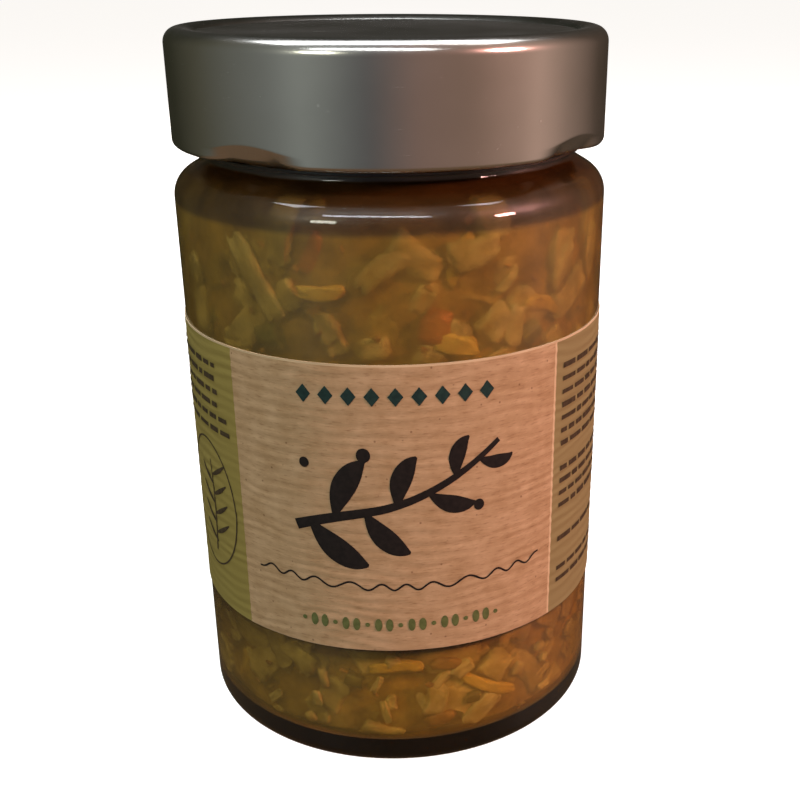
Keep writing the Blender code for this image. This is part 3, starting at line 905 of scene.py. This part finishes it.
def inner_wall(height):
    """Radius of the glass's inside at a height, as far up as the heap reaches."""
    lift = height - BASE_THICKNESS
    if lift < INNER_HEEL_RADIUS:
        drop = INNER_HEEL_RADIUS - max(0.0, lift)
        return INNER_RADIUS - INNER_HEEL_RADIUS + math.sqrt(INNER_HEEL_RADIUS**2 - drop**2)
    over = min(max(0.0, height - SHOULDER_Z), INNER_SHOULDER)
    return INNER_RADIUS - INNER_SHOULDER + math.sqrt(INNER_SHOULDER**2 - over**2)


print("the heap may be", round(2000 * inner_wall(50 * MM), 1), "mm wide")

# %% The core
CORE_ROWS = 56
CORE_STEPS = 120
CROWN_DROP = 3.5 * MM
FOLDED_FROM = 26 * MM
core_low = BASE_THICKNESS + INNER_DOME + 0.3 * MM
core_section = [(r * MM, HEAP_TOP - (r / 30.0) ** 2 * 3.0 * MM) for r in (0, 6, 12, 18, 24)]
for i in range(CORE_ROWS):
    z = HEAP_TOP - CROWN_DROP + (core_low - HEAP_TOP + CROWN_DROP) * i / (CORE_ROWS - 1)
    core_section.append((inner_wall(z) - CORE_DEPTH, z))
core_section += [(r * MM, core_low) for r in (22, 14, 7, 0)]
kimchi_core = lathe("kimchi_core", core_section, CORE_STEPS)
for vertex in kimchi_core.data.vertices:
    x, y, z = vertex.co
    r = math.hypot(x, y)
    fold = 1.1 * noise.noise(vertex.co * 140) + 0.9 * abs(noise.noise(vertex.co * 260)) - 0.3
    if r > FOLDED_FROM:
        vertex.co.x *= (r + fold * MM) / r
        vertex.co.y *= (r + fold * MM) / r
    elif z > HEAP_TOP / 2:
        vertex.co.z += fold * MM - 1.0 * MM
print("kimchi_core stands", round(1000 * kimchi_core.dimensions.z, 1), "mm high")

# %% [markdown]
# A cut stalk is a slab with rounded edges. It starts as a cube, subdivided and smoothed, so that
# it keeps its blocky form. A leaf is a grid with wavy folds, given a thickness. A stem is a short
# tube, and a seed is a small rounded lump.

# %% One model of each kind
def rounded_block(name, cuts, levels):
    bpy.ops.mesh.primitive_cube_add(size=1.0)
    block = name_piece(bpy.context.object, name)
    bpy.ops.object.mode_set(mode="EDIT")
    bpy.ops.mesh.subdivide(number_cuts=cuts)
    bpy.ops.object.mode_set(mode="OBJECT")
    smooth = block.modifiers.new("Smooth", "SUBSURF")
    smooth.levels = levels
    smooth.render_levels = levels
    apply_modifiers(block)
    return block


def torn_leaf(name):
    bpy.ops.mesh.primitive_grid_add(x_subdivisions=12, y_subdivisions=9, size=1.0)
    leaf = name_piece(bpy.context.object, name)
    for vertex in leaf.data.vertices:
        x, y = vertex.co.x, vertex.co.y
        vertex.co.x = x * math.sqrt(1 - 1.6 * y * y)
        vertex.co.y = y * math.sqrt(1 - 1.6 * x * x)
    thick = leaf.modifiers.new("Leaf", "SOLIDIFY")
    thick.thickness = 0.08
    thick.offset = 0.0
    apply_modifiers(leaf)
    return leaf


def stem_ring(name):
    bpy.ops.mesh.primitive_cylinder_add(vertices=14, radius=0.5, depth=1.0, end_fill_type="NOTHING")
    ring = name_piece(bpy.context.object, name)
    bpy.ops.object.mode_set(mode="EDIT")
    bpy.ops.mesh.subdivide(number_cuts=1)
    bpy.ops.transform.rotate(value=math.pi / 2, orient_axis="Y", center_override=(0.0, 0.0, 0.0))
    bpy.ops.object.mode_set(mode="OBJECT")
    thick = ring.modifiers.new("Ring", "SOLIDIFY")
    thick.thickness = 0.14
    apply_modifiers(ring)
    return ring


models = {
    "stalk": rounded_block("stalk_model", 2, 1),
    "leaf": torn_leaf("leaf_model"),
    "stick": rounded_block("stick_model", 1, 2),
    "stem": stem_ring("stem_model"),
    "seed": rounded_block("seed_model", 1, 1),
}
print({kind: len(model.data.polygons) for kind, model in models.items()})

# %% [markdown]
# Each copy is placed by four numbers: the angle round the jar, the height, its own turn on the
# wall, and how far it lies behind the glass. Its length runs along the wall, and its thickness
# points inwards. What crumples little also stays straight. The golden angle spreads the copies
# of a kind evenly, because no two of them then lie above each other. Small bits settle, so some of
# them are spread over the lower half alone. Blender's noise vectors start from the clock, so they
# get a seed as well as the draws, and every run gives the same jar.

# %% Pressing a copy to the wall
CRUMPLE_SCALE = 2.4
UNEVEN_LENGTH, UNEVEN_WIDTH = 0.14, 0.20
LARGEST_BOW = 0.12
SOFT_CRUMPLE = 0.4
LOWEST_MM = BASE_THICKNESS / MM + 0.6
HIGHEST_MM = (SHOULDER_Z + 0.8 * INNER_SHOULDER) / MM
noise.seed_set(KIMCHI_SEED)
draw = random.Random(KIMCHI_SEED)


def lay_on_wall(kind, size, angle, height, turn, sink, crumple):
    """A crumpled copy of a model, bent to the wall. Sizes in mm, angles in degrees."""
    piece = models[kind].copy()
    piece.data = models[kind].data.copy()
    bpy.context.collection.objects.link(piece)
    seed = Vector((draw.uniform(0, 90), draw.uniform(0, 90), draw.uniform(0, 90)))
    bow = draw.uniform(-LARGEST_BOW, LARGEST_BOW) * min(1.0, crumple / SOFT_CRUMPLE)
    lean, swing = math.radians(angle), math.radians(turn)
    for vertex in piece.data.vertices:
        x, y, z = vertex.co
        rough = noise.noise_vector(vertex.co * CRUMPLE_SCALE + seed)
        x = (x + UNEVEN_LENGTH * rough.x) * size[0]
        y = (y + UNEVEN_WIDTH * rough.y) * size[1] + bow * size[0] * (1 - (2 * x / size[0]) ** 2)
        z = z * size[2] + crumple * rough.z
        up = height + x * math.sin(swing) + y * math.cos(swing)
        up = min(max(up, LOWEST_MM), HIGHEST_MM)
        around = x * math.cos(swing) - y * math.sin(swing)
        depth = max(0.0, sink + size[2] / 2 - z)
        r = inner_wall(up * MM) - SKIN_GAP - depth * MM
        place = lean + around * MM / INNER_RADIUS
        vertex.co = (r * math.sin(place), -r * math.cos(place), up * MM)
    return piece


WHOLE_WALL = (BASE_THICKNESS / MM + 2.0, HEAP_TOP / MM - 3.5)
LOWER_HALF = (BASE_THICKNESS / MM + 1.5, HEAP_TOP / MM / 2)
GOLDEN_ANGLE = 180 * (3 - math.sqrt(5))
LARGEST_TURN = 80
OFF_ANGLE = 9
OFF_HEIGHT = 2


def scatter(kind, count, sizes, sinks, crumple, phase, heights=WHOLE_WALL):
    """Copies spread over the wall, each a little off its even place by a seeded draw."""
    low, high = heights
    pieces = []
    for i in range(count):
        size = [draw.uniform(*limits) for limits in sizes]
        angle = GOLDEN_ANGLE * (i + phase) + draw.uniform(-OFF_ANGLE, OFF_ANGLE)
        share = (i + 0.5 + phase) / count % 1.0
        height = low + (high - low) * share + draw.uniform(-OFF_HEIGHT, OFF_HEIGHT)
        turn = draw.uniform(-LARGEST_TURN, LARGEST_TURN)
        pieces.append(lay_on_wall(kind, size, angle, height, turn, draw.uniform(*sinks), crumple))
    return pieces


def gather(pieces, name, material):
    """Joins the copies of one kind to one piece."""
    pick(*pieces)
    bpy.ops.object.join()
    piece = name_piece(bpy.context.object, name)
    return finish(piece, material, "kimchi", math.radians(60))


# %% [markdown]
# ## Pickled vegetables
# Weeks in brine dull every vegetable towards olive. The materials share one recipe: two tones
# mixed by a soft noise, a wet surface, and fine fibres as bump. Only the tones and the grain
# differ. Subsurface light would be truer for cabbage, but it is slow, and murky brine lies over it.

# %% Vegetable materials
FIBRES_PER_MM = 2.2
FIBRE_RELIEF = 0.12 * MM
WET_ROUGHNESS = 0.45


def vegetable(name, deep, pale, grain_mm):
    flesh, tree, shader = new_material(name)
    mm = object_mm(tree)
    patch = add_node(tree, "TexNoise", {"Vector": mm, "Scale": 1 / grain_mm, "Detail": 5.0})
    tone = colour_ramp(tree, patch.outputs["Fac"], ((0.32, deep), (0.68, pale)))
    fibres = add_node(tree, "TexNoise", {"Vector": mm, "Scale": FIBRES_PER_MM, "Detail": 3.0})
    bump = add_node(tree, "Bump", {"Height": fibres.outputs["Fac"], "Distance": FIBRE_RELIEF})
    look = {"Base Color": tone, "Roughness": WET_ROUGHNESS, "Normal": bump.outputs[0]}
    set_inputs(tree, shader, look)
    return flesh


core_flesh = vegetable("packed_kimchi", "#8F7430", "#C4A55C", 2.6)
stalk_flesh = vegetable("pickled_cabbage_stalk", "#A8965C", "#DCCDA0", 3.2)
leaf_flesh = vegetable("pickled_cabbage_leaf", "#857134", "#C2AE6C", 2.4)
radish_flesh = vegetable("pickled_radish", "#C2AE7A", "#E2D4AC", 3.0)
carrot_flesh = vegetable("pickled_carrot", "#A85A24", "#CC7C38", 3.0)
pepper_flesh = vegetable("pickled_yellow_pepper", "#CFA63A", "#EED070", 4.0)
green_flesh = vegetable("pickled_spring_onion", "#2C3310", "#59602A", 2.0)
seed_flesh = vegetable("chilli_and_ginger_bits", "#70441C", "#A87C44", 2.0)
finish(kimchi_core, core_flesh, "kimchi", math.radians(60))

# %% [markdown]
# The scattered copies come first, kind by kind. The pieces that one would recognise in this jar
# are then laid one by one: a long pale stalk that leans on the left, yellow strips, an orange bit,
# and dark stem ends just above the paper.

# %% Cabbage
def lay_by_hand(kind, *places):
    return [lay_on_wall(kind, *place) for place in places]


stalks = scatter("stalk", 230, ((4, 12), (3, 6.0), (1.5, 2.4)), (0.5, 2.4), 0.6, 0.0)
stalks += lay_by_hand(
    "stalk",
    ((15, 3.9, 2.6), -37.5, 87.5, -56, 0.0, 0.08),
    ((7.0, 3.2, 2.2), 22.8, 8.4, 38, 0.0, 0.3),
    ((6.0, 4.0, 2.4), 9.3, 12.0, 75, 0.0, 0.4),
    ((8.0, 4.2, 2.0), 20.9, 92.4, 12, 0.4, 0.5),
    ((9.0, 3.4, 2.0), 66.3, 88.0, 84, 0.1, 0.4),
    ((8.0, 3.2, 2.0), 50.8, 87.1, 60, 0.3, 0.4),
    ((6.0, 4.6, 2.2), 26.8, 80.4, 40, 0.2, 0.5),
    ((6.5, 3.4, 2.2), 32.8, 79.4, 80, 0.1, 0.5),
    ((7.0, 4.0, 2.2), -31.2, 19.0, -30, 0.2, 0.5),
)
gather(stalks, "cabbage_stalks", stalk_flesh)
leaves = scatter("leaf", 190, ((5, 11), (4, 8), (3.0, 5.0)), (0.4, 2.2), 0.9, 0.4)
leaves += lay_by_hand("leaf", ((9, 4.5, 5), -33.5, 91.8, -60, 0.0, 0.3))
gather(leaves, "cabbage_leaves", leaf_flesh)

# %% Radish, carrot and pepper
whites = scatter("stick", 60, ((2.5, 5.5), (1.8, 3.2), (1.2, 2.0)), (0.8, 2.2), 0.4, 0.65)
whites += scatter("seed", 200, ((1.8, 5.5), (1.2, 2.8), (1.0, 1.8)), (0.0, 2.2), 0.5, 0.25, LOWER_HALF)
whites += lay_by_hand("stick", ((4.5, 2.6, 2.0), 17.5, 17.6, 30, 0.0, 0.3))
gather(whites, "radish_bits", radish_flesh)
carrots = scatter("stick", 22, ((5, 10), (2.2, 2.8), (2.0, 2.6)), (1.5, 3.2), 0.2, 0.8)
carrots += lay_by_hand("stick", ((5.6, 4.4, 2.6), 10.5, 80.4, 70, 0.2, 0.3))
gather(carrots, "carrot_sticks", carrot_flesh)
peppers = scatter("stick", 36, ((5, 10), (1.8, 2.8), (1.2, 2.0)), (0.8, 2.6), 0.3, 0.15)
peppers += lay_by_hand(
    "stick",
    ((7.0, 3.4, 2.4), 16.3, 77.5, -20, 0.1, 0.3),
    ((7.5, 2.4, 1.6), -18.8, 86.2, 4, 0.0, 0.2),
    ((12.0, 2.2, 1.6), 26.0, 13.2, -30, 0.1, 0.2),
    ((9.0, 2.2, 1.6), -2.0, 19.0, 4, 0.1, 0.2),
)
gather(peppers, "pepper_strips", pepper_flesh)

# %% Stems and seeds
stems = scatter("stem", 26, ((3, 6), (2.4, 4.0), (2.4, 4.0)), (0.8, 2.2), 0.2, 0.55)
stems += lay_by_hand(
    "stem",
    ((4.0, 4.6, 3.0), -34.3, 77.8, 20, 0.0, 0.3),
    ((3.6, 3.4, 2.6), 38.6, 77.2, 30, 0.2, 0.3),
    ((2.4, 2.4, 2.2), 20.7, 11.3, 0, 0.0, 0.2),
)
gather(stems, "green_stems", green_flesh)
seeds = scatter("seed", 260, ((0.6, 1.9), (0.5, 1.3), (0.5, 1.0)), (0.1, 1.6), 0.1, 0.3)
seeds += lay_by_hand(
    "seed",
    ((5.4, 2.4, 2.0), 10.8, 8.2, 14, 0.0, 0.3),
    ((5.4, 2.6, 2.0), 12.4, 19.1, -8, 0.0, 0.3),
)
gather(seeds, "seeds_and_bits", seed_flesh)
for model in models.values():
    bpy.data.objects.remove(model, do_unlink=True)

# %% [markdown]
# ## The brine
# Brine fills every gap between the kimchi and the glass. It is turned on the lathe from the
# jar's own inner section, pushed 0.1 mm into the wall, so that no film of air shows between them.
# It is cloudy: its surface is a little rough, which softens whatever lies deeper, more so higher
# up, and a share of it is opaque and mottled. Plain absorption takes out the blue first, so that
# deep gaps turn dark olive brown. A volume that scatters would be truer, but takes far longer.
# Its tone changes with the height: lightest at the bottom and dark brown from the shoulder up.
# The dark band along the shoulder's curve is painted shade, and the dark brown of the neck is
# partly deep brine with no kimchi behind it and partly painted shade under the lid.

# %% Brine
BRINE_SWELL = 0.1 * MM
BRINE_TOP = 108.0 * MM
brine_section = inner_section(BRINE_SWELL)
brine_section += [(MOUTH_RADIUS + BRINE_SWELL, BRINE_TOP), (0.0, BRINE_TOP)]
brine = lathe("brine", brine_section)

BRINE_TONES_AND_PAINTED_SHADE = (
    (22.0, "#CFA138"),
    (30.0, "#B79136"),
    (94.6, "#B79136"),
    # From here up the tones hold painted shade: a dark band along the shoulder's curve, then the neck under
    # the lid, which is also deep brine.
    (95.5, "#624E28"),
    (98.2, "#664C23"),
    (99.5, "#5E3E18"),
)
TONES_TOP = 110.0
CLOUD_MM = 5.0
SWIRL_PER_MM = 0.12
SWIRL_DEPTH = 0.02 * MM
BRINE_CLEARNESS = 0.68
BRINE_DENSITY = 240.0

cloudy_brine, tree, shader = new_material("cloudy_brine")
mm = object_mm(tree)
height = add_node(tree, "SeparateXYZ", {0: mm}).outputs["Z"]
share = remap(tree, height, 0.0, TONES_TOP)
# This tone by height includes painted shade on the shoulder and the neck.
tone = colour_ramp(tree, share, [(z / TONES_TOP, code) for z, code in BRINE_TONES_AND_PAINTED_SHADE])
cloud = add_node(tree, "TexNoise", {"Vector": mm, "Scale": 1 / CLOUD_MM, "Detail": 4.0})
cloud_share = remap(tree, cloud.outputs["Fac"], 0.32, 0.68, 0.74, 1.22)
clouded = add_node(tree, "VectorMath", {0: tone, "Scale": cloud_share}, operation="SCALE")
set_inputs(tree, shader, {"Base Color": clouded.outputs[0], "Transmission Weight": BRINE_CLEARNESS})
set_inputs(tree, shader, {"IOR": 1.33, "Roughness": remap(tree, height, 20.0, 50.0, 0.21, 0.33)})
swirl = add_node(tree, "TexNoise", {"Vector": mm, "Scale": SWIRL_PER_MM, "Detail": 2.0})
swirl_bump = add_node(tree, "Bump", {"Height": swirl.outputs["Fac"], "Distance": SWIRL_DEPTH})
set_inputs(tree, shader, {"Normal": swirl_bump.outputs[0]})
murk = add_node(tree, "VolumeAbsorption", {"Color": colour("#DDC848"), "Density": BRINE_DENSITY})
set_inputs(tree, tree.nodes["Material Output"], {"Volume": murk.outputs[0]})
finish(brine, cloudy_brine)
brine.visible_shadow = False
